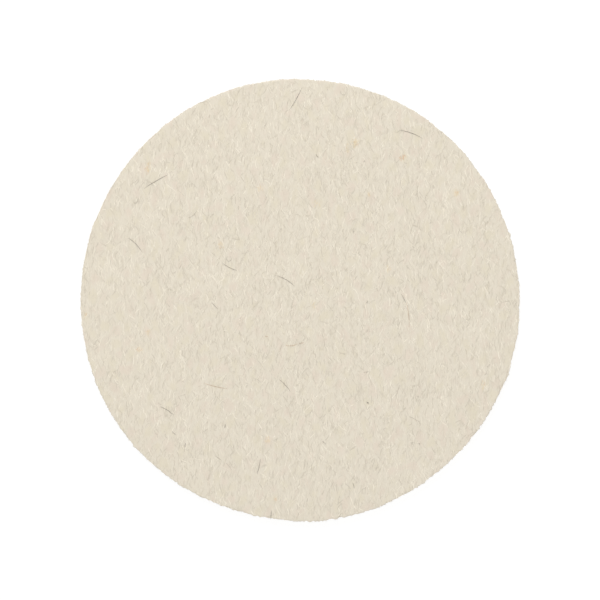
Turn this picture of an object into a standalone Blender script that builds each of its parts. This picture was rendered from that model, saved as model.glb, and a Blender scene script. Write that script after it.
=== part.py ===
"""A felt polishing pad for a flat lap: a disc of pressed wool felt on double-coated tape, on its release liner.

Metres, +Z up. The pad lies on its liner with the felt's working face up, as it comes from its packet.
The origin is the centre of the liner's underside. Run it with blender --background --python part.py,
or from the text editor.
"""

import math

import bmesh
import bpy

# Driving dimensions, in metres.
INCH = 0.0254
PAD_DIAMETER = 6 * INCH
FELT_THICKNESS = INCH / 8
FELT_ADHESIVE_THICKNESS = 0.00010  # the thicker coat, because it has to wet the felt's fibres
FILM_THICKNESS = 0.00005
LAP_ADHESIVE_THICKNESS = 0.00008
LINER_THICKNESS = 0.00012
LAYER_GAP = 0.00002  # keeps the flat faces of neighbouring layers apart

# The cutting die draws the felt's upper edge down into a small round.
CUT_EDGE_RADIUS = 0.0004
CUT_EDGE_SEGMENTS = 3

RIM_SEGMENTS = 96
SHARP_EDGE_ANGLE = math.radians(40)

# The height of each layer's lower face, from the liner up.
LINER_BASE = 0.0
LAP_ADHESIVE_BASE = LINER_BASE + LINER_THICKNESS + LAYER_GAP
FILM_BASE = LAP_ADHESIVE_BASE + LAP_ADHESIVE_THICKNESS + LAYER_GAP
FELT_ADHESIVE_BASE = FILM_BASE + FILM_THICKNESS + LAYER_GAP
FELT_BASE = FELT_ADHESIVE_BASE + FELT_ADHESIVE_THICKNESS + LAYER_GAP

# Linear colours.
WOOL_CREAM = (0.77, 0.70, 0.58, 1)
ADHESIVE_AMBER = (0.80, 0.70, 0.48, 1)
FILM_CLEAR = (0.82, 0.84, 0.84, 1)
KRAFT_TAN = (0.56, 0.40, 0.24, 1)


def clear_scene():
    for obj in list(bpy.data.objects):
        bpy.data.objects.remove(obj, do_unlink=True)


def new_collection(name):
    collection = bpy.data.collections.new(name)
    bpy.context.scene.collection.children.link(collection)
    return collection


def principled(name, colour, roughness):
    """A non-metallic material of one colour and roughness."""
    material = bpy.data.materials.new(name)
    material.use_nodes = True
    material.diffuse_color = colour
    shader = material.node_tree.nodes["Principled BSDF"]
    shader.inputs["Base Color"].default_value = colour
    shader.inputs["Roughness"].default_value = roughness
    shader.inputs["Metallic"].default_value = 0.0
    return material


def wool_felt():
    return principled("wool_felt", WOOL_CREAM, 0.95)


def acrylic_adhesive():
    return principled("acrylic_adhesive", ADHESIVE_AMBER, 0.25)


def polyester_film():
    return principled("polyester_film", FILM_CLEAR, 0.12)


def silicone_kraft():
    return principled("silicone_kraft", KRAFT_TAN, 0.5)


def round_upper_rim(mesh_data):
    """Rounds the edges around the upper face of a disc whose middle is at the height of its origin."""
    rim = [edge for edge in mesh_data.edges if all(vert.co.z > 0 for vert in edge.verts)]
    bmesh.ops.bevel(
        mesh_data,
        geom=rim,
        offset=CUT_EDGE_RADIUS,
        segments=CUT_EDGE_SEGMENTS,
        profile=0.5,
        affect="EDGES",
    )


def disc(name, thickness, round_top=False):
    """A flat round layer whose lower face is centred on the object's origin."""
    mesh_data = bmesh.new()
    bmesh.ops.create_cone(
        mesh_data,
        cap_ends=True,
        segments=RIM_SEGMENTS,
        radius1=PAD_DIAMETER / 2,
        radius2=PAD_DIAMETER / 2,
        depth=thickness,
    )
    if round_top:
        round_upper_rim(mesh_data)
    bmesh.ops.translate(mesh_data, verts=mesh_data.verts, vec=(0, 0, thickness / 2))
    mesh = bpy.data.meshes.new(name)
    mesh_data.to_mesh(mesh)
    mesh_data.free()
    mesh.shade_smooth()
    mesh.set_sharp_from_angle(angle=SHARP_EDGE_ANGLE)
    return bpy.data.objects.new(name, mesh)


def place(layer, base, material, collection, parent=None):
    """Stands a layer on the central axis at its height above the origin, under its parent if it has one."""
    layer.data.materials.append(material)
    layer.location = (0, 0, base)
    if parent is not None:
        layer.parent = parent
        layer.location.z -= parent.location.z
    collection.objects.link(layer)


def pad_origin(collection):
    """The empty that carries the pad. It lies on the line along which the pad comes off its liner."""
    empty = bpy.data.objects.new("pad_off_liner", None)
    empty.location = (0, 0, LAP_ADHESIVE_BASE)
    empty.empty_display_size = PAD_DIAMETER / 4
    collection.objects.link(empty)
    return empty


def release_liner(collection):
    place(disc("release_liner", LINER_THICKNESS), LINER_BASE, silicone_kraft(), collection)


def lap_side_adhesive(collection, pad, adhesive):
    layer = disc("lap_side_adhesive", LAP_ADHESIVE_THICKNESS)
    place(layer, LAP_ADHESIVE_BASE, adhesive, collection, pad)


def carrier_film(collection, pad):
    place(disc("carrier_film", FILM_THICKNESS), FILM_BASE, polyester_film(), collection, pad)


def felt_side_adhesive(collection, pad, adhesive):
    layer = disc("felt_side_adhesive", FELT_ADHESIVE_THICKNESS)
    place(layer, FELT_ADHESIVE_BASE, adhesive, collection, pad)


def felt_disc(collection, pad):
    layer = disc("felt_disc", FELT_THICKNESS, round_top=True)
    place(layer, FELT_BASE, wool_felt(), collection, pad)


def build():
    clear_scene()
    collection = new_collection("felt_polishing_pad")
    release_liner(collection)
    pad = pad_origin(collection)
    adhesive = acrylic_adhesive()
    lap_side_adhesive(collection, pad, adhesive)
    carrier_film(collection, pad)
    felt_side_adhesive(collection, pad, adhesive)
    felt_disc(collection, pad)


build()
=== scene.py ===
"""The looks of the felt polishing pad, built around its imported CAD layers. Metres, +Z up."""

import math

import bpy
import numpy as np
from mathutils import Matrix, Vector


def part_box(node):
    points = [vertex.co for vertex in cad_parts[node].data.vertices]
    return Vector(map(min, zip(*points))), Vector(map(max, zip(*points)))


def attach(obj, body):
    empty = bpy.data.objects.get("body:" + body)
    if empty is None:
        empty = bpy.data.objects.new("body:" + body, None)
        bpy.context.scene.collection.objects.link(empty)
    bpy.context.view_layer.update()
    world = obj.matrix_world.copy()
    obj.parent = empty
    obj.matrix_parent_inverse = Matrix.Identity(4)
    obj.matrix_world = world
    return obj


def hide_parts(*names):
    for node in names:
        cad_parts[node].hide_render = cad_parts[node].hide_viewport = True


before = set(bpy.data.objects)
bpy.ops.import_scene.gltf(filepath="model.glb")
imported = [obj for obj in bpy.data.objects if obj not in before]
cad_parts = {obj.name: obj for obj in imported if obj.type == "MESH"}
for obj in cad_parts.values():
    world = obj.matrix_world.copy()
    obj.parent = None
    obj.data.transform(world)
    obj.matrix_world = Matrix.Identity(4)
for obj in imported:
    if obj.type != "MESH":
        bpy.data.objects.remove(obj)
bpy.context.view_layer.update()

MM = 0.001
SEED = 7

# The layers' places, from the frame.
FELT_LOW, FELT_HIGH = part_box("felt_disc")
PAD_RADIUS = (FELT_HIGH.x - FELT_LOW.x) / 2
FELT_BASE = FELT_LOW.z
FELT_TOP = FELT_HIGH.z

# The grain of the felt runs along Y, as the wool was carded. Fibres lie about it, with a spread in radians.
GRAIN_HEADING = math.radians(90)
GRAIN_SPREAD = 0.38

# ---- The felt's shape.

# Rough surfaces are sums of waves: the shortest and the longest in millimetres, and their stretch along the
# grain. Those of the relief also have a height in millimetres.
WAVES = 48
RELIEF = (
    (18, 60, 1.0, 0.030),
    (4, 12, 1.3, 0.018),
    (1.2, 3.5, 2.2, 0.014),
)
TINT_LUMPS = (3.5, 9, 1.4)
CLOUD_LUMPS = (5, 36, 1.6)

# The cut edge: the die's oval and long errors, which every layer shares, and the felt's own ragged fibres,
# which are rougher on one side by the lean. Errors are sums of lobes, from the fewest to the most round the
# outline, which shrink by the fade, a power of their number.
OVAL = 0.27 * MM
OVAL_HEADING = math.radians(97)
OUTLINE_ERROR = 0.14 * MM
OUTLINE_LOBES = (3, 9)
OUTLINE_FADE = 1.0
RAGGED_ERROR = 0.165 * MM
RAGGED_LOBES = (10, 420)
RAGGED_FADE = 0.5
RAGGED_SIDE = math.radians(-70)
RAGGED_LEAN = 0.22

# The felt's wall, from the top edge down: the rows of its rounded edge, as inset and share of the height,
# then rows whose reach varies as the fibres were cut or drawn.
TOP_ROUND = ((0.30 * MM, 1.0), (0.10 * MM, 0.975))
WALL_TOP = 0.93
WALL_ROWS = 11
WALL_ERROR = 0.035 * MM
WALL_LOBES = (40, 420)
WALL_FADE = 0.3
WALL_SLANT = 0.14 * MM

# Round slabs are meshed in rings of points, with this many more on each ring than on the last.
RING_SIDES = 6
FELT_RINGS = 150
LAYER_RINGS = 48
# How far the fuzz of the felt stands proud of the tape and the liner, and their straight walls, as inset and
# share of the height.
LAYER_INSET = 0.12 * MM
LAYER_WALL = ((0.0, 1.0), (0.0, 0.0))
LAYER_SHARP_ANGLE = math.radians(40)

# ---- Fibres. Their lengths, lifts and radii are the least and the most, in millimetres. A fibre is lifted
# at its middle and sunk at its ends. Its curl and roll are standard deviations of its sway and its lean,
# in radians, and its flatness is its height as a share of its width.

# The wool's own shades, then its tints. Each fibre is too thin for more than one.
PALE, LIGHT, CREAM, DUN, DEEP, PINK, STRAW = range(7)
FIBRE_SHADES = (
    (0.850, 0.791, 0.675),
    (0.776, 0.719, 0.608),
    (0.715, 0.657, 0.549),
    (0.651, 0.595, 0.493),
    (0.594, 0.540, 0.445),
    (0.722, 0.645, 0.543),
    (0.718, 0.661, 0.535),
)
FIBRE_ROUGHNESS = 0.75
FIBRE_SHEEN = 0.1
FIBRE_SHARP_ANGLE = math.radians(50)
# A fibre's radius at its ends, as a share of that at its middle.
FIBRE_TIP = 0.35
# How often a fibre sways from side to side along its length, at the least and at the most.
FIBRE_SWAYS = (0.3, 1.3)
# The room between the outline and the fibres on the face.
EDGE_GAP = 0.15 * MM

# Where one shade of the mat gives way to the next darker one, in standard deviations of the wool's depth of
# colour, and how much that depth drifts slowly over the felt.
MAT_EDGES = (-1.48, -0.47, 0.41, 1.28)
CLOUD_DEPTH = 0.21
# The tint beyond which a fibre is pink or straw, and how much the tint varies from fibre to fibre.
TINT_EDGE = 1.3
TINT_VARIETY = 0.5

MAT_PIECES = 4
MAT_LOCKS = 7600
MAT_STEPS = 6
MAT_LENGTH = (1.2, 4.2)
MAT_CURL = 0.4
MAT_LIFT = (0.008, 0.03)
MAT_SUNK = 0.02 * MM
MAT_RADIUS = (0.055, 0.14)
MAT_ROLL = 0.10
MAT_FLATNESS = 0.3

LOOSE_PIECES = 2
LOOSE_LOCKS = 850
LOOSE_PER_LOCK = 4
LOOSE_STEPS = 10
LOOSE_SHADES = {PALE: 0.2, LIGHT: 0.35, CREAM: 0.25, DUN: 0.2}
LOOSE_LENGTH = (2.0, 6.5)
LOOSE_CURL = 0.5
LOOSE_WIDTH = 0.25 * MM
LOOSE_LIFT = (0.02, 0.05)
LOOSE_SUNK = 0.03 * MM
LOOSE_RADIUS = (0.03, 0.055)
LOOSE_ROLL = 0.15
LOOSE_FLATNESS = 0.4

BRIGHT_PER_LOCK = 5
BRIGHT_WIDTH = 0.24 * MM
BRIGHT_LIFT = (0.03, 0.08)
BRIGHT_SUNK = 0.04 * MM
BRIGHT_RADIUS = (0.04, 0.07)

# The cut ends in the wall. A share of them crowds the ragged side, with a spread in radians. Their reach out
# of the wall has a mean and limits, and their drift round it and rise up it are standard deviations, all in
# millimetres.
RIM_FIBRES = 5200
RIM_STEPS = 6
RIM_CROWDED_SHARE = 0.25
RIM_CROWDED_SPREAD = 0.9
RIM_REACH_MEAN = 0.12
RIM_REACH = (0.02, 0.7)
RIM_DRIFT = 0.35
RIM_RISE = 0.12
RIM_MARGIN = 0.1 * MM
RIM_ROOT_DEPTH = 0.18 * MM
# How far along a sine's rise and fall a cut end goes, in radians, so that its tip turns back a little.
RIM_DROOP = 1.7
RIM_RADIUS = (0.015, 0.035)

# ---- Single hairs and strands: the middle's x and y in millimetres, heading in degrees, length in
# millimetres, and how far they bend to the left on their way, in degrees.

HAIR_STEPS = 16
HAIR_SIDES = 5
HAIR_LIFT = 0.09 * MM
HAIR_SUNK = 0.02 * MM
HAIR_ROUGHNESS = 0.5
# How much longer each one is than the length that shows, because its ends are tucked into the felt.
TUCKED = 1.12

DARK_HAIRS = (
    (-1, 70, 61, 8.0, 10),
    (38.6, 57.7, -19, 8.6, -28),
    (-49.5, 41.3, 30, 9.4, -8),
    (-56.6, 19.2, -45, 7.3, -32),
    (-24.4, 11.2, -28, 5.6, 22),
    (-4.6, 6.9, -30, 7.2, -30),
    (-29.4, -2.1, -47, 3.3, -10),
    (35.9, 0.5, -62, 3.4, -15),
    (-5, -29.5, -47, 5.6, -20),
    (-45.7, -38.2, -32, 5.4, -24),
    (-14.1, -57.4, 77, 5.4, 12),
    (-10, -74.2, 84, 3.0, 6),
    (-43.6, -46.1, -45, 1.7, 20),
    (-39.7, -50.2, 78, 1.6, 0),
    (-25.9, -43.6, 76, 1.4, 0),
    (41.3, -49.8, -60, 0.9, -30),
    (8.4, -49.4, -45, 1.6, 0),
    (18.6, -64.3, -75, 2.0, -15),
    (5.9, 49.8, -55, 1.6, 0),
    (22.2, 48.0, 80, 0.7, 0),
    (23.3, -0.6, 70, 1.0, 20),
    (23.4, -35.6, -50, 1.1, 60),
    (23.4, -35.5, 25, 0.9, -40),
)
FAINT_HAIRS = (
    (23.0, -24.9, 6, 2.2, 15),
    (39.0, -49.4, 2, 1.6, 10),
    (40.9, -33.5, 4, 0.9, 0),
    (-36.8, 29.4, 40, 4.2, 50),
    (39.7, -41.2, -28, 4.6, -15),
    (-28.2, -54.7, -38, 2.6, 0),
    (-24.4, -57.6, -50, 3.0, -20),
    (-24.4, 13.4, 0, 4.5, 320),
    (-56.5, 33.6, 20, 4.0, 300),
    (14.6, 71.0, -30, 3.0, 200),
    (18.3, 24.0, -60, 1.6, 0),
    (45.1, 26.7, 60, 0.8, 0),
)
RED_HAIRS = (
    (-28.9, -30.0, -13, 8.2, 12),
    (37.6, -5.6, -84, 9.0, -16),
    (-2.7, -15.8, 8, 4.2, 50),
    (0.5, -14.9, 5, 1.8, 20),
    (-11.6, -12.6, 0, 1.1, 0),
)
BRIGHT_STRANDS = (
    (44.6, -7.4, -68, 8.4, -100),
    (22.8, -3.2, -80, 4.0, -20),
    (-31.7, 38.8, -82, 4.4, 15),
    (-40.5, 47, 84, 5.0, -20),
    (6.9, -63.8, -50, 2.0, 10),
    (-36.3, -55.0, -3, 4.2, -6),
    (-20, -5, 70, 5.0, 60),
    (-46.5, 2, -75, 5.0, -40),
)
# Each kind of hair, with its thickness and colour.
HAIRS = {
    "dark_kemp": (DARK_HAIRS, 0.12 * MM, (0.23, 0.20, 0.17)),
    "faint_kemp": (FAINT_HAIRS, 0.07 * MM, (0.36, 0.32, 0.26)),
    "red_kemp": (RED_HAIRS, 0.07 * MM, (0.50, 0.28, 0.15)),
}

# ---- Soft stains in the wool, where bits of straw coloured it: x, y, width across and along the grain in
# millimetres, the share of their fibres that are rusty, and how strong they are.

STAINS = (
    (-52.6, 45.2, 1.0, 2.0, 0.3, 0.9),
    (-52.4, 47.6, 0.8, 1.4, 0.2, 0.6),
    (19.1, 54.4, 1.8, 2.0, 0.2, 1.0),
    (16.5, 52.4, 0.8, 2.4, 0.0, 0.6),
    (35.5, 49.3, 1.3, 1.5, 0.9, 1.2),
    (54.0, 37.0, 1.4, 1.8, 0.2, 0.7),
    (-52.5, -11, 1.4, 1.4, 0.2, 0.5),
    (-55.5, -17, 1.6, 1.6, 0.3, 0.5),
    (23.9, 36.6, 0.8, 1.8, 0.3, 0.5),
    (5.8, 33.6, 2.4, 1.6, 0.0, 0.3),
    (30.5, 10.7, 1.0, 1.9, 0.1, 0.4),
    (-11.0, -48.5, 1.6, 1.8, 0.1, 0.4),
    (63.5, -29.5, 1.2, 2.4, 0.1, 0.5),
    (-27.5, 19.4, 1.2, 2.0, 0.1, 0.5),
    (-13.6, 38.7, 1.8, 1.4, 0.1, 0.35),
    (4.7, -1.9, 1.2, 2.0, 0.0, 0.4),
    (-8.5, -68.6, 1.0, 1.8, 0.1, 0.4),
    (-74.2, -5, 1.0, 2.0, 0.1, 0.5),
)
STRAW_STAIN = (0.745, 0.625, 0.430)
RUST_STAIN = (0.68, 0.47, 0.31)
# A stain's fibres: how many on each square millimetre, how many standard deviations of their scatter make
# its width, and their spread about the grain in radians.
STAIN_DENSITY = 10
STAIN_DEVIATIONS = 3
STAIN_SPREAD = 0.6
STAIN_STEPS = 6
STAIN_LENGTH = (0.5, 1.3)
STAIN_CURL = 0.5
STAIN_LIFT = 0.03 * MM
STAIN_RADIUS = (0.04, 0.08)
STAIN_FLATNESS = 0.4

# ---- The materials' colours, and what they share.

WOOL = (0.700, 0.645, 0.542)
# The wool body's pale and deep colours: painted light on the raised strands and painted shade in the pits
# between them, partly also the fibres' own tone.
WOOL_PALE_AND_STRAND_LIGHT = (0.750, 0.695, 0.587)
WOOL_DEEP_AND_PIT_SHADE = (0.675, 0.620, 0.520)
WOOL_PINK = (0.712, 0.639, 0.540)
WOOL_STRAW = (0.708, 0.649, 0.530)
ADHESIVE = (0.62, 0.52, 0.34)
ADHESIVE_DEEP = (0.60, 0.50, 0.33)
ADHESIVE_LIGHT = (0.70, 0.61, 0.44)
TRAPPED_AIR = (0.82, 0.77, 0.66)
FILM = (0.72, 0.74, 0.74)
FILM_CLEAR = (0.68, 0.70, 0.70)
FILM_HAZY = (0.76, 0.78, 0.78)
KRAFT = (0.56, 0.41, 0.25)
KRAFT_DEEP = (0.50, 0.355, 0.205)
KRAFT_LIGHT = (0.60, 0.445, 0.275)
KRAFT_CLOUD = (0.64, 0.49, 0.32)
KRAFT_STREAK = (0.47, 0.33, 0.19)

SHEEN_ROUGHNESS = 0.5
SPECULAR = 0.25

# ---- The stage.

# How much of the view's width the pad fills.
VIEW_SHARE = 0.7345
# The camera's lens and the width of its sensor in millimetres, and how far it sees in metres.
LENS = 180.0
SENSOR = 36.0
VIEW_DEPTH = 20
WHITE = (1, 1, 1, 1)
# The strength of the light from all round, then the lamps: their colour, and each one's place, the length of
# its sides and its power in watts.
SOFT_LIGHT = 0.585
LAMP_COLOUR = (1.0, 0.989, 0.971)
LAMPS = {
    "key": ((-0.5, 1.3, 1.2), 1.0, 22),
    "fill": ((1.4, -2.2, 1.6), 1.6, 26),
}
# How far the floor reaches from the pad's centre, and how far it lies below the liner.
FLOOR_REACH = 4.0
FLOOR_DROP = 0.1 * MM
FLOOR_GREY = (0.2, 0.2, 0.2)
FLOOR_ROUGHNESS = 0.9
FLOOR_GLOW = 0.85


def random_for(name):
    """A generator for one piece, so that its numbers never shift another's."""
    return np.random.default_rng([SEED, *name.encode()])


# ---------------------------------------------------------------- shapes


def plane_waves(name, shortest, longest, stretch):
    """Wave vectors and phases of a rough surface whose lumps are longer along the grain by the stretch."""
    rng = random_for(name)
    length = np.exp(rng.uniform(math.log(shortest), math.log(longest), WAVES)) * MM
    heading = rng.uniform(0, 2 * math.pi, WAVES)
    vectors = 2 * math.pi / length[:, None] * np.stack([np.cos(heading), np.sin(heading) / stretch], axis=1)
    return vectors, rng.uniform(0, 2 * math.pi, WAVES)


def wave_height(points, waves):
    """The sum of the waves at each point, about 1 high."""
    vectors, phases = waves
    return math.sqrt(2 / len(phases)) * np.cos(points[:, :2] @ vectors.T + phases).sum(axis=1)


RELIEF_LAYERS = [
    (plane_waves(f"relief{number}", shortest, longest, stretch), height * MM)
    for number, (shortest, longest, stretch, height) in enumerate(RELIEF)
]
TINT_WAVES = plane_waves("tint", *TINT_LUMPS)
CLOUD_WAVES = plane_waves("cloud", *CLOUD_LUMPS)


def felt_surface(points):
    """The height of the felt's working face above each point."""
    return FELT_TOP + sum(height * wave_height(points, waves) for waves, height in RELIEF_LAYERS)


def lobes(name, lowest, highest, fade):
    """Random lobes round the outline, as count, size and phase, with the higher ones smaller."""
    rng = random_for(name)
    count = np.arange(lowest, highest + 1)
    size = rng.normal(0, 1, len(count)) * count ** -fade
    return count, size / math.sqrt((size**2).sum() / 2), rng.uniform(0, 2 * math.pi, len(count))


OUTLINE = lobes("outline", *OUTLINE_LOBES, OUTLINE_FADE)
RAGGED = lobes("ragged", *RAGGED_LOBES, RAGGED_FADE)
RAGGED_BELOW = lobes("ragged_below", *RAGGED_LOBES, RAGGED_FADE)


def lobe_sum(angles, chosen):
    """The sum of the chosen lobes at each angle, about 1 high."""
    count, size, phase = chosen
    return (size * np.cos(np.outer(angles, count) + phase)).sum(axis=1)


def outline_radius(angles):
    """The radius at which the die cut every layer."""
    oval = OVAL * np.cos(2 * (angles - OVAL_HEADING))
    return PAD_RADIUS + oval + OUTLINE_ERROR * lobe_sum(angles, OUTLINE)


def ragged_radius(angles, ragged=RAGGED):
    """The radius of the felt, whose edge is rougher on one side, where the die was duller."""
    roughness = 1 + RAGGED_LEAN * np.cos(angles - RAGGED_SIDE)
    return outline_radius(angles) + RAGGED_ERROR * roughness * lobe_sum(angles, ragged)


def wall_radius(angles, share):
    """The radius of the felt's wall at this share of its height. It slants in and is ragged anew below."""
    below = ragged_radius(angles, RAGGED_BELOW) - WALL_SLANT
    return below + share * (ragged_radius(angles) - below)


def ring_disc(rings):
    """A unit disc of points in rings, as shares of the radius, angles and triangles."""
    shares, angles, triangles = [0.0], [0.0], []
    first = [0]
    for ring in range(1, rings + 1):
        first.append(len(shares))
        count = RING_SIDES * ring
        shares += [ring / rings] * count
        angles += [2 * math.pi * point / count for point in range(count)]
    for ring in range(1, rings + 1):
        inner, outer = max(RING_SIDES * (ring - 1), 1), RING_SIDES * ring
        for side in range(RING_SIDES):
            for step in range(ring):
                a = first[ring] + (side * ring + step) % outer
                b = first[ring] + (side * ring + step + 1) % outer
                c = first[ring - 1] + (side * (ring - 1) + step) % inner
                triangles.append((a, b, c))
                if step < ring - 1:
                    d = first[ring - 1] + (side * (ring - 1) + step + 1) % inner
                    triangles.append((c, b, d))
    return np.array(shares), np.array(angles), np.array(triangles)


def mesh_object(name, points, faces, smooth=True):
    """A new object with this mesh, linked to the scene."""
    mesh = bpy.data.meshes.new(name)
    mesh.from_pydata(points.tolist(), [], faces.tolist())
    mesh.update()
    if smooth:
        mesh.shade_smooth()
    obj = bpy.data.objects.new(name, mesh)
    bpy.context.scene.collection.objects.link(obj)
    return obj


def round_slab(name, rings, radius_at, top_at, base, rim_profile):
    """A closed round slab. The rim_profile lists its wall's rows, from the top edge down, as inset and share
    of the height. After the first row, an inset may be one number for each point of the rim."""
    shares, angles, top_faces = ring_disc(rings)
    outer = RING_SIDES * rings
    rim_angles = angles[-outer:]
    rim_radius = radius_at(rim_angles)
    inset, _ = rim_profile[0]
    radius = shares * (radius_at(angles) - inset)
    points = np.stack([radius * np.cos(angles), radius * np.sin(angles), np.zeros(len(angles))], axis=1)
    points[:, 2] = top_at(points)
    height = points[-outer:, 2] - base
    rows = [points]
    for inset, share in rim_profile[1:]:
        reach = rim_radius - inset
        x, y = reach * np.cos(rim_angles), reach * np.sin(rim_angles)
        rows.append(np.stack([x, y, base + share * height], axis=1))
    rows.append(np.array([[0, 0, base]]))
    step = np.arange(outer)
    after = (step + 1) % outer
    faces = [top_faces]
    above = len(points) - outer
    for _ in rim_profile[1:]:
        below = above + outer
        faces.append(np.stack([above + step, below + step, below + after], axis=1))
        faces.append(np.stack([above + step, below + after, above + after], axis=1))
        above = below
    centre = above + outer
    faces.append(np.stack([above + step, np.full(outer, centre), above + after], axis=1))
    return mesh_object(name, np.concatenate(rows), np.concatenate(faces))


# A direction close to straight up, along which no fibre runs, and a number that keeps a divisor off zero.
ALMOST_UP = (0.013, 0.021, 1.0)
TINY = 1e-12


def tubes(paths, radii, sides, flatness, roll):
    """Closed tubes with pointed ends and one side up, one along each path, as their points, their triangles
    and the number of the path that each triangle is on."""
    count, length, _ = paths.shape
    along = np.gradient(paths, axis=1)
    along /= np.linalg.norm(along, axis=2, keepdims=True) + TINY
    across = np.cross(along, ALMOST_UP)
    across /= np.linalg.norm(across, axis=2, keepdims=True) + TINY
    up = np.cross(across, along)
    lean = np.asarray(roll).reshape(-1, 1, 1)
    across, up = across * np.cos(lean) + up * np.sin(lean), up * np.cos(lean) - across * np.sin(lean)
    turns = 2 * math.pi * np.arange(sides) / sides - math.pi / 2
    middle = paths[:, 1:-1, None, :]
    ring = (
        np.cos(turns)[:, None] * across[:, 1:-1, None, :]
        + flatness * np.sin(turns)[:, None] * up[:, 1:-1, None, :]
    ) * radii[:, 1:-1, None, None]
    body = (middle + ring).reshape(count, -1, 3)
    points = np.concatenate([paths[:, :1], body, paths[:, -1:]], axis=1)
    faces = []
    last = 1 + (length - 2) * sides
    for side in range(sides):
        after = (side + 1) % sides
        faces.append((0, 1 + after, 1 + side))
        faces.append((last, last - sides + side, last - sides + after))
        for row in range(length - 3):
            here = 1 + row * sides
            there = here + sides
            faces.append((here + side, here + after, there + after))
            faces.append((here + side, there + after, there + side))
    faces = np.array(faces)
    per_tube = last + 1
    all_faces = (faces[None] + per_tube * np.arange(count)[:, None, None]).reshape(-1, 3)
    owner = np.repeat(np.arange(count), len(faces))
    return points.reshape(-1, 3), all_faces, owner


def tube_object(name, paths, radii, shades, materials, sides=3, flatness=1.0, roll=0.0):
    """One object of tubes, each wearing the material whose index is its shade."""
    points, faces, owner = tubes(paths, radii, sides, flatness, roll)
    obj = mesh_object(name, points, faces)
    if flatness < 1:
        obj.data.set_sharp_from_angle(angle=FIBRE_SHARP_ANGLE)
    for material in materials:
        obj.data.materials.append(material)
    obj.data.polygons.foreach_set("material_index", np.asarray(shades)[owner].astype(np.int32))
    return obj


def wander(rng, middles, headings, lengths, steps, curl):
    """Flat paths of these lengths through their middle points, whose heading sways as they go."""
    share = np.linspace(0, 1, steps)
    count = len(lengths)
    sway = rng.normal(0, curl, (count, 1))
    bends = rng.uniform(*FIBRE_SWAYS, (count, 1))
    phase = rng.uniform(0, 2 * math.pi, (count, 1))
    heading = headings[:, None] + sway * np.sin(2 * math.pi * bends * share + phase)
    stride = lengths[:, None] / (steps - 1)
    x = np.cumsum(np.cos(heading) * stride, axis=1)
    y = np.cumsum(np.sin(heading) * stride, axis=1)
    x += middles[:, :1] - x[:, steps // 2, None]
    y += middles[:, 1:] - y[:, steps // 2, None]
    return np.stack([x, y], axis=2)


# ---------------------------------------------------------------- materials


def material_of(name, colour, roughness, sheen=0.0, specular=SPECULAR):
    """A new material, and its node tree and Principled shader."""
    material = bpy.data.materials.new(name)
    material.use_nodes = True
    tree = material.node_tree
    shader = tree.nodes["Principled BSDF"]
    shader.inputs["Base Color"].default_value = (*colour, 1)
    shader.inputs["Roughness"].default_value = roughness
    shader.inputs["Sheen Weight"].default_value = sheen
    shader.inputs["Sheen Roughness"].default_value = SHEEN_ROUGHNESS
    shader.inputs["Specular IOR Level"].default_value = specular
    return material, tree, shader


def in_millimetres(tree, stretch=(1, 1, 1), turn=0.0):
    """Coordinates in millimetres, squeezed along each axis by the stretch, after a turn about Z."""
    where = tree.nodes.new("ShaderNodeTexCoord")
    turned = tree.nodes.new("ShaderNodeMapping")
    turned.inputs["Rotation"].default_value = (0, 0, turn)
    tree.links.new(where.outputs["Object"], turned.inputs["Vector"])
    scaled = tree.nodes.new("ShaderNodeMapping")
    scaled.inputs["Scale"].default_value = tuple(1 / (MM * s) for s in stretch)
    tree.links.new(turned.outputs["Vector"], scaled.inputs["Vector"])
    return scaled.outputs["Vector"]


def feed(tree, socket, value):
    """Links another socket's value in, or sets a number or a colour."""
    if isinstance(value, bpy.types.NodeSocket):
        tree.links.new(value, socket)
    elif isinstance(value, tuple):
        socket.default_value = (*value, 1)
    else:
        socket.default_value = value


def noise(tree, where, size, detail, rough=0.5, warp=0.0):
    """Noise with features about this many millimetres long, from 0 to 1."""
    node = tree.nodes.new("ShaderNodeTexNoise")
    node.inputs["Scale"].default_value = 1 / size
    node.inputs["Detail"].default_value = detail
    node.inputs["Roughness"].default_value = rough
    node.inputs["Distortion"].default_value = warp
    tree.links.new(where, node.inputs["Vector"])
    return node.outputs["Fac"]


def attribute(tree, name):
    """The value that the mesh carries at each point under this name."""
    node = tree.nodes.new("ShaderNodeAttribute")
    node.attribute_name = name
    return node.outputs["Fac"]


def maths(tree, operation, a, b):
    """The result of the operation on a and b, each a number or a socket."""
    node = tree.nodes.new("ShaderNodeMath")
    node.operation = operation
    for socket, value in zip(node.inputs, (a, b)):
        feed(tree, socket, value)
    return node.outputs["Value"]


def spread(tree, value, low, high, to_low=0.0, to_high=1.0):
    """The value's stretch from low to high, drawn out from to_low to to_high and held there beyond it."""
    node = tree.nodes.new("ShaderNodeMapRange")
    node.inputs["From Min"].default_value = low
    node.inputs["From Max"].default_value = high
    node.inputs["To Min"].default_value = to_low
    node.inputs["To Max"].default_value = to_high
    tree.links.new(value, node.inputs["Value"])
    return node.outputs["Result"]


# The colour sockets of a Mix node, which share their names with its other sockets.
MIX_A, MIX_B, MIX_RESULT = 6, 7, 2


def blend(tree, share, a, b, at_most=1.0):
    """The colour between a and b at this share of the way, where a share of 1 goes as far as at_most. A
    colour is three numbers or a socket."""
    if at_most < 1:
        share = maths(tree, "MULTIPLY", share, at_most)
    node = tree.nodes.new("ShaderNodeMix")
    node.data_type = "RGBA"
    tree.links.new(share, node.inputs["Factor"])
    feed(tree, node.inputs[MIX_A], a)
    feed(tree, node.inputs[MIX_B], b)
    return node.outputs[MIX_RESULT]


def bump(tree, shader, height, depth, strength):
    """Bumps this many metres deep where the height goes from 0 to 1."""
    node = tree.nodes.new("ShaderNodeBump")
    node.inputs["Distance"].default_value = depth
    node.inputs["Strength"].default_value = strength
    tree.links.new(height, node.inputs["Height"])
    tree.links.new(node.outputs["Normal"], shader.inputs["Normal"])


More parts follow.
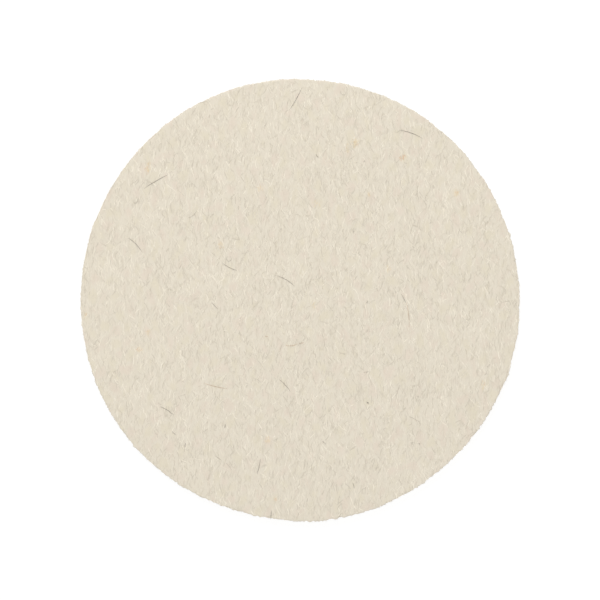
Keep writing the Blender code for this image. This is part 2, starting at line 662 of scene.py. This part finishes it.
def matted_fibres(tree, size, turn):
    """Fine streaks of matted fibres at this turn from the grain, from 0 in the pits to 1 on a strand."""
    where = in_millimetres(tree, stretch=(1, 4, 1), turn=turn)
    streak = noise(tree, where, size, detail=3, rough=0.6, warp=0.6)
    return spread(tree, streak, low=0.3, high=0.7)


def felt_material():
    """Matted wool: strands at two turns from the grain with painted light on them, painted shade in the pits
    between them, partly also the fibres' own tone, slow changes of shade and tint, and the stains."""
    material, tree, shader = material_of("pressed_wool", WOOL, roughness=0.95, sheen=0.15)
    left = matted_fibres(tree, size=0.30, turn=math.radians(18))
    right = matted_fibres(tree, size=0.42, turn=math.radians(-24))
    strands = maths(tree, "MULTIPLY", maths(tree, "ADD", left, right), 0.5)
    # Painted shade in the pits and painted light on the strands, where the bump is low and high; partly own
    # tone.
    shade = blend(tree, strands, WOOL_DEEP_AND_PIT_SHADE, WOOL_PALE_AND_STRAND_LIGHT)
    cloud = spread(tree, noise(tree, in_millimetres(tree), size=7, detail=3), low=0.35, high=0.65)
    shade = blend(tree, cloud, shade, WOOL, at_most=0.35)
    tint = attribute(tree, "tint")
    shade = blend(tree, spread(tree, tint, low=0.5, high=2.0), shade, WOOL_PINK)
    shade = blend(tree, spread(tree, tint, low=-0.5, high=-2.0), shade, WOOL_STRAW)
    shade = blend(tree, attribute(tree, "stain"), shade, STRAW_STAIN, at_most=0.7)
    tree.links.new(shade, shader.inputs["Base Color"])
    roughness = spread(tree, strands, low=0, high=1, to_low=1.0, to_high=0.85)
    tree.links.new(roughness, shader.inputs["Roughness"])
    bump(tree, shader, strands, depth=0.05 * MM, strength=0.5)
    return material


def plain_fibre(name, colour, roughness=FIBRE_ROUGHNESS):
    """A fibre too thin to show any pattern along its skin."""
    material, _, _ = material_of(name, colour, roughness, FIBRE_SHEEN)
    return material


def tape_material(name):
    """Clear acrylic adhesive, wet out over pale felt or film, with trapped air and a faint orange peel."""
    material, tree, shader = material_of(name, ADHESIVE, roughness=0.22)
    plain = in_millimetres(tree)
    cloud = spread(tree, noise(tree, plain, size=6, detail=4), low=0.35, high=0.65)
    shade = blend(tree, cloud, ADHESIVE_DEEP, ADHESIVE_LIGHT)
    cells = tree.nodes.new("ShaderNodeTexVoronoi")
    cells.inputs["Scale"].default_value = 0.8
    tree.links.new(plain, cells.inputs["Vector"])
    air = spread(tree, cells.outputs["Distance"], low=0.10, high=0.22, to_low=1.0, to_high=0.0)
    shade = blend(tree, air, shade, TRAPPED_AIR, at_most=0.5)
    tree.links.new(shade, shader.inputs["Base Color"])
    roughness = spread(tree, cloud, low=0, high=1, to_low=0.16, to_high=0.32)
    tree.links.new(roughness, shader.inputs["Roughness"])
    bump(tree, shader, noise(tree, plain, size=1.6, detail=3), depth=0.03 * MM, strength=0.6)
    return material


def film_material():
    """The polyester film, which shows only its edge."""
    material, tree, shader = material_of("polyester_film", FILM, roughness=0.15)
    haze = noise(tree, in_millimetres(tree), size=2, detail=2)
    tree.links.new(blend(tree, haze, FILM_CLEAR, FILM_HAZY), shader.inputs["Base Color"])
    roughness = spread(tree, haze, low=0, high=1, to_low=0.10, to_high=0.22)
    tree.links.new(roughness, shader.inputs["Roughness"])
    return material


def liner_material():
    """Dense tan kraft paper: short pulp fibres, a cloudy sheet, and calender streaks along one way."""
    material, tree, shader = material_of("silicone_kraft", KRAFT, roughness=0.45)
    short = in_millimetres(tree, stretch=(4, 1, 1), turn=0.15)
    long = in_millimetres(tree, stretch=(60, 1, 1))
    pulp = spread(tree, noise(tree, short, size=0.35, detail=3, warp=0.4), low=0.3, high=0.7)
    cloud = spread(tree, noise(tree, in_millimetres(tree), size=3.5, detail=4), low=0.3, high=0.7)
    streak = spread(tree, noise(tree, long, size=0.8, detail=2), low=0.3, high=0.7)
    shade = blend(tree, pulp, KRAFT_DEEP, KRAFT_LIGHT)
    shade = blend(tree, cloud, shade, KRAFT_CLOUD, at_most=0.45)
    shade = blend(tree, streak, shade, KRAFT_STREAK, at_most=0.18)
    tree.links.new(shade, shader.inputs["Base Color"])
    roughness = spread(tree, streak, low=0, high=1, to_low=0.38, to_high=0.52)
    tree.links.new(roughness, shader.inputs["Roughness"])
    bump(tree, shader, pulp, depth=0.015 * MM, strength=0.5)
    return material


# ---------------------------------------------------------------- the felt


def stain_strength(points):
    """How much each point of the felt is stained, from 0 to 1."""
    strength = np.zeros(len(points))
    for x, y, across, along, _, full in STAINS:
        offset = (points[:, :2] / MM - (x, y)) / (across / 2, along / 2)
        strength += full * np.exp(-(offset**2).sum(axis=1) / 2)
    return strength.clip(0, 1)


def felt_body():
    """The pressed felt, with its relief, a small round where the die drew it down, and a rough cut wall."""
    rim_points = RING_SIDES * FELT_RINGS
    around = 2 * math.pi * np.arange(rim_points) / rim_points
    rows = list(TOP_ROUND)
    for number, share in enumerate(np.linspace(WALL_TOP, 0, WALL_ROWS)):
        fuzz = lobe_sum(around, lobes(f"wall{number}", *WALL_LOBES, WALL_FADE))
        undercut = ragged_radius(around) - wall_radius(around, share)
        rows.append((undercut + WALL_ERROR * (1 + fuzz), share))
    body = round_slab("felt_body", FELT_RINGS, ragged_radius, felt_surface, FELT_BASE, rows)
    points = np.array([vertex.co for vertex in body.data.vertices])
    for name, values in (("tint", wave_height(points, TINT_WAVES)), ("stain", stain_strength(points))):
        carried = body.data.attributes.new(name, "FLOAT", "POINT")
        carried.data.foreach_set("value", values)
    body.data.materials.append(felt_material())
    return body


def scattered(rng, count):
    """Points spread evenly over the felt's face."""
    radius = PAD_RADIUS * np.sqrt(rng.uniform(0, 1, count))
    angle = rng.uniform(0, 2 * math.pi, count)
    return np.stack([radius * np.cos(angle), radius * np.sin(angle)], axis=1)


def keep_on_face(flat):
    """Pulls in the points of flat paths that would pass the felt's edge."""
    radius = np.hypot(flat[..., 0], flat[..., 1])
    angle = np.arctan2(flat[..., 1], flat[..., 0])
    limit = outline_radius(angle.ravel()).reshape(angle.shape) - EDGE_GAP
    return flat * np.minimum(1, limit / np.maximum(radius, MM))[..., None]


def laid(flat, lift, sunk):
    """Flat paths laid on the felt, lifted this much at their middles and sunk this much at their ends."""
    share = np.linspace(0, 1, flat.shape[1])
    arch = np.sin(math.pi * share)
    height = felt_surface(flat.reshape(-1, 2)).reshape(flat.shape[:2]) + lift * arch - sunk * (1 - arch)
    return np.concatenate([flat, height[..., None]], axis=2)


def tapered(radii, steps):
    """Each tube's radius along its steps, thinner towards its ends."""
    fullness = np.sqrt(np.sin(math.pi * np.linspace(0, 1, steps)).clip(0))
    return np.asarray(radii)[:, None] * (FIBRE_TIP + (1 - FIBRE_TIP) * fullness)


def tinted(rng, middles, shades):
    """The shades, with pink or straw fibres in their place where the wool's tint is strong."""
    tint = wave_height(middles, TINT_WAVES) + rng.normal(0, TINT_VARIETY, len(middles))
    return np.where(tint > TINT_EDGE, PINK, np.where(tint < -TINT_EDGE, STRAW, shades))


def mat_shades(rng, middles):
    """A shade for each fibre, whose depth drifts slowly over the felt."""
    depth = rng.normal(0, 1, len(middles)) + CLOUD_DEPTH * wave_height(middles, CLOUD_WAVES)
    return np.digitize(depth, MAT_EDGES)


def split_locks(rng, flat, fibres, width):
    """Each flat path as a lock of fibres about this wide, which part or cross on their way."""
    flat = np.repeat(flat, fibres, axis=0)
    share = np.linspace(0, 1, flat.shape[1])[:, None]
    start, end = rng.normal(0, width / 2, (2, len(flat), 1, 2))
    return keep_on_face(flat + start * (1 - share) + end * share)


def mat_locks(name, materials):
    """Matted locks of fibres pressed flat into the felt's working face."""
    rng = random_for(name)
    middles = scattered(rng, MAT_LOCKS)
    headings = GRAIN_HEADING + rng.normal(0, GRAIN_SPREAD, MAT_LOCKS)
    lengths = rng.uniform(*MAT_LENGTH, MAT_LOCKS) * MM
    flat = keep_on_face(wander(rng, middles, headings, lengths, MAT_STEPS, MAT_CURL))
    paths = laid(flat, rng.uniform(*MAT_LIFT, (MAT_LOCKS, 1)) * MM, MAT_SUNK)
    radii = tapered(rng.uniform(*MAT_RADIUS, MAT_LOCKS) * MM, MAT_STEPS)
    shades = tinted(rng, middles, mat_shades(rng, middles))
    roll = rng.normal(0, MAT_ROLL, MAT_LOCKS)
    return tube_object(name, paths, radii, shades, materials, flatness=MAT_FLATNESS, roll=roll)


def loose_fibres(name, materials):
    """Thinner fibres, pale to dun, in parting locks that weave over and through the mat."""
    rng = random_for(name)
    middles = scattered(rng, LOOSE_LOCKS)
    headings = GRAIN_HEADING + rng.normal(0, GRAIN_SPREAD, LOOSE_LOCKS)
    lengths = rng.uniform(*LOOSE_LENGTH, LOOSE_LOCKS) * MM
    flat = wander(rng, middles, headings, lengths, LOOSE_STEPS, LOOSE_CURL)
    flat = split_locks(rng, flat, LOOSE_PER_LOCK, LOOSE_WIDTH)
    count = len(flat)
    paths = laid(flat, rng.uniform(*LOOSE_LIFT, (count, 1)) * MM, LOOSE_SUNK)
    radii = tapered(rng.uniform(*LOOSE_RADIUS, count) * MM, LOOSE_STEPS)
    shades = rng.choice(list(LOOSE_SHADES), LOOSE_LOCKS, p=list(LOOSE_SHADES.values()))
    shades = np.repeat(shades, LOOSE_PER_LOCK)
    roll = rng.normal(0, LOOSE_ROLL, count)
    return tube_object(name, paths, radii, shades, materials, flatness=LOOSE_FLATNESS, roll=roll)


def arcs(hairs, steps):
    """Each hair as a flat arc about its middle."""
    share = np.linspace(-0.5, 0.5, steps - 1)
    paths = []
    for x, y, heading, length, bend in hairs:
        turn = np.radians(heading + bend * share)
        stride = TUCKED * length * MM / (steps - 1)
        strides = np.stack([np.cos(turn), np.sin(turn)], axis=1) * stride
        flat = np.concatenate([np.zeros((1, 2)), np.cumsum(strides, axis=0)])
        paths.append(flat - flat[steps // 2] + np.array([x, y]) * MM)
    return np.array(paths)


def bright_locks(materials):
    """A few bright locks that catch the eye."""
    name = "felt_bright_locks"
    rng = random_for(name)
    flat = split_locks(rng, arcs(BRIGHT_STRANDS, HAIR_STEPS), BRIGHT_PER_LOCK, BRIGHT_WIDTH)
    count = len(flat)
    paths = laid(flat, rng.uniform(*BRIGHT_LIFT, (count, 1)) * MM, BRIGHT_SUNK)
    radii = tapered(rng.uniform(*BRIGHT_RADIUS, count) * MM, HAIR_STEPS)
    return tube_object(name, paths, radii, np.full(count, PALE), materials, sides=HAIR_SIDES)


def rim_fibres(materials):
    """Short cut ends that stand out of the felt's wall."""
    name = "felt_rim_fibres"
    rng = random_for(name)
    count = RIM_FIBRES
    share = np.linspace(0, 1, RIM_STEPS)
    angle = rng.uniform(0, 2 * math.pi, count)
    crowded = rng.uniform(0, 1, count) < RIM_CROWDED_SHARE
    angle = np.where(crowded, RAGGED_SIDE + rng.normal(0, RIM_CROWDED_SPREAD, count), angle)
    reach = rng.exponential(RIM_REACH_MEAN, count).clip(*RIM_REACH) * MM
    drift = rng.normal(0, 1, count) * RIM_DRIFT * MM
    base = rng.uniform(FELT_BASE + RIM_MARGIN, FELT_TOP - RIM_MARGIN, count)
    rise = rng.normal(0, RIM_RISE, count) * MM
    root = wall_radius(angle, (base - FELT_BASE) / (FELT_TOP - FELT_BASE))[:, None] - RIM_ROOT_DEPTH
    radius = root + (reach[:, None] + RIM_ROOT_DEPTH) * np.sin(RIM_DROOP * share)
    turn = angle[:, None] + drift[:, None] * share / PAD_RADIUS
    height = base[:, None] + rise[:, None] * share**2
    paths = np.stack([radius * np.cos(turn), radius * np.sin(turn), height], axis=2)
    radii = rng.uniform(*RIM_RADIUS, (count, 1)) * MM * np.ones((1, RIM_STEPS))
    shades = mat_shades(rng, paths[:, 0])
    return tube_object(name, paths, radii, shades, materials)


def stained_fibres():
    """Tufts of short stained fibres, thickest at the middle of each stain."""
    name = "stained_fibres"
    rng = random_for(name)
    middles, rusty = [], []
    for x, y, across, along, rust, full in STAINS:
        count = round(STAIN_DENSITY * full * across * along)
        scatter = rng.normal(0, 1, (count, 2)) * np.array([across, along]) / STAIN_DEVIATIONS
        middles.append((np.array([x, y]) + scatter) * MM)
        rusty.append(rng.uniform(0, 1, count) < rust)
    middles = np.concatenate(middles)
    count = len(middles)
    headings = GRAIN_HEADING + rng.normal(0, STAIN_SPREAD, count)
    lengths = rng.uniform(*STAIN_LENGTH, count) * MM
    flat = keep_on_face(wander(rng, middles, headings, lengths, STAIN_STEPS, STAIN_CURL))
    paths = laid(flat, lift=STAIN_LIFT, sunk=0.0)
    radii = tapered(rng.uniform(*STAIN_RADIUS, count) * MM, STAIN_STEPS)
    materials = [plain_fibre("straw_stain", STRAW_STAIN), plain_fibre("rust_stain", RUST_STAIN)]
    shades = np.concatenate(rusty).astype(int)
    return tube_object(name, paths, radii, shades, materials, flatness=STAIN_FLATNESS)


def stray_hairs(name, hairs, thickness, colour):
    """Coarse hairs of another colour that lie on the felt with their ends tucked in."""
    paths = laid(arcs(hairs, HAIR_STEPS), HAIR_LIFT, HAIR_SUNK)
    radii = tapered(np.full(len(hairs), thickness / 2), HAIR_STEPS)
    shades = np.zeros(len(hairs), int)
    materials = [plain_fibre(name, colour, HAIR_ROUGHNESS)]
    return tube_object(f"{name}_hairs", paths, radii, shades, materials, sides=HAIR_SIDES)


# ---------------------------------------------------------------- tape and liner


def layer_radius(angles):
    """The radius of the tape and the liner, which were cut with the felt."""
    return outline_radius(angles) - LAYER_INSET


def layer(name, node, material):
    """A thin layer in its CAD node's place."""
    low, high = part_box(node)

    def flat_top(points):
        return np.full(len(points), high.z)

    sheet = round_slab(name, LAYER_RINGS, layer_radius, flat_top, low.z, LAYER_WALL)
    sheet.data.set_sharp_from_angle(angle=LAYER_SHARP_ANGLE)
    sheet.data.materials.append(material)
    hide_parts(node)
    return sheet


# ---------------------------------------------------------------- stage


def add_camera():
    """A camera that looks straight down on the felt, +Y up, with the pad filling its share of the width."""
    camera = bpy.data.objects.new("camera", bpy.data.cameras.new("camera"))
    camera.data.lens = LENS
    camera.data.sensor_width = SENSOR
    camera.data.clip_end = VIEW_DEPTH
    width = 2 * PAD_RADIUS / VIEW_SHARE
    distance = width * LENS / SENSOR
    camera.location = (0, 0, FELT_TOP + distance)
    bpy.context.scene.collection.objects.link(camera)
    bpy.context.scene.camera = camera


def add_floor():
    """A plain grey floor whose glow makes it come out white."""
    material, _, shader = material_of("studio_floor", FLOOR_GREY, FLOOR_ROUGHNESS, specular=0.0)
    shader.inputs["Emission Color"].default_value = WHITE
    shader.inputs["Emission Strength"].default_value = FLOOR_GLOW
    low, high = -FLOOR_REACH, FLOOR_REACH
    corners = np.array([(low, low, 0), (high, low, 0), (high, high, 0), (low, high, 0)])
    floor = mesh_object("floor", corners, np.array([(0, 1, 2, 3)]), smooth=False)
    floor.location.z = -FLOOR_DROP
    floor.data.materials.append(material)


def area_light(name, place, side, power):
    """A square soft light that faces the felt."""
    lamp = bpy.data.objects.new(name, bpy.data.lights.new(name, "AREA"))
    lamp.data.shape = "SQUARE"
    lamp.data.size = side
    lamp.data.energy = power
    lamp.data.color = LAMP_COLOUR
    lamp.location = place
    lamp.rotation_euler = lamp.location.to_track_quat("Z", "Y").to_euler()
    bpy.context.scene.collection.objects.link(lamp)


def add_world():
    """Soft light from all round, behind a backdrop that the camera sees as white."""
    world = bpy.data.worlds.new("studio")
    world.use_nodes = True
    tree = world.node_tree
    soft = tree.nodes["Background"]
    soft.inputs["Color"].default_value = WHITE
    soft.inputs["Strength"].default_value = SOFT_LIGHT
    backdrop = tree.nodes.new("ShaderNodeBackground")
    backdrop.inputs["Color"].default_value = WHITE
    rays = tree.nodes.new("ShaderNodeLightPath")
    choice = tree.nodes.new("ShaderNodeMixShader")
    seen, if_not, if_seen = choice.inputs
    tree.links.new(rays.outputs["Is Camera Ray"], seen)
    tree.links.new(soft.outputs["Background"], if_not)
    tree.links.new(backdrop.outputs["Background"], if_seen)
    tree.links.new(choice.outputs["Shader"], tree.nodes["World Output"].inputs["Surface"])
    bpy.context.scene.world = world


def add_stage():
    """The camera, the light and the floor."""
    add_camera()
    add_world()
    for name, (place, side, power) in LAMPS.items():
        area_light(name, place, side, power)
    bpy.context.scene.view_settings.view_transform = "Standard"
    add_floor()


# ---------------------------------------------------------------- put together


def wool_piece(piece):
    """Makes the piece a part of the felt."""
    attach(piece, "pad")


add_stage()

felt = felt_body()
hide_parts("felt_disc")
wool_piece(felt)
fibre_materials = [plain_fibre(f"wool_fibre_{i}", shade) for i, shade in enumerate(FIBRE_SHADES, 1)]
for number in range(1, MAT_PIECES + 1):
    wool_piece(mat_locks(f"felt_mat_locks_{number}", fibre_materials))
for number in range(1, LOOSE_PIECES + 1):
    wool_piece(loose_fibres(f"felt_loose_fibres_{number}", fibre_materials))
wool_piece(bright_locks(fibre_materials))
wool_piece(rim_fibres(fibre_materials))
wool_piece(stained_fibres())
for name, (hairs, thickness, colour) in HAIRS.items():
    wool_piece(stray_hairs(name, hairs, thickness, colour))

for name, node, slot, body, material in (
    ("felt_bond_coat", "felt_side_adhesive", "acrylic_adhesive", "pad", tape_material("felt_bond")),
    ("tape_film", "carrier_film", "polyester_film", "pad", film_material()),
    ("lap_bond_coat", "lap_side_adhesive", "acrylic_adhesive", "pad", tape_material("lap_bond")),
    ("liner_sheet", "release_liner", "silicone_kraft", "liner", liner_material()),
):
    sheet = layer(name, node, material)
    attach(sheet, body)
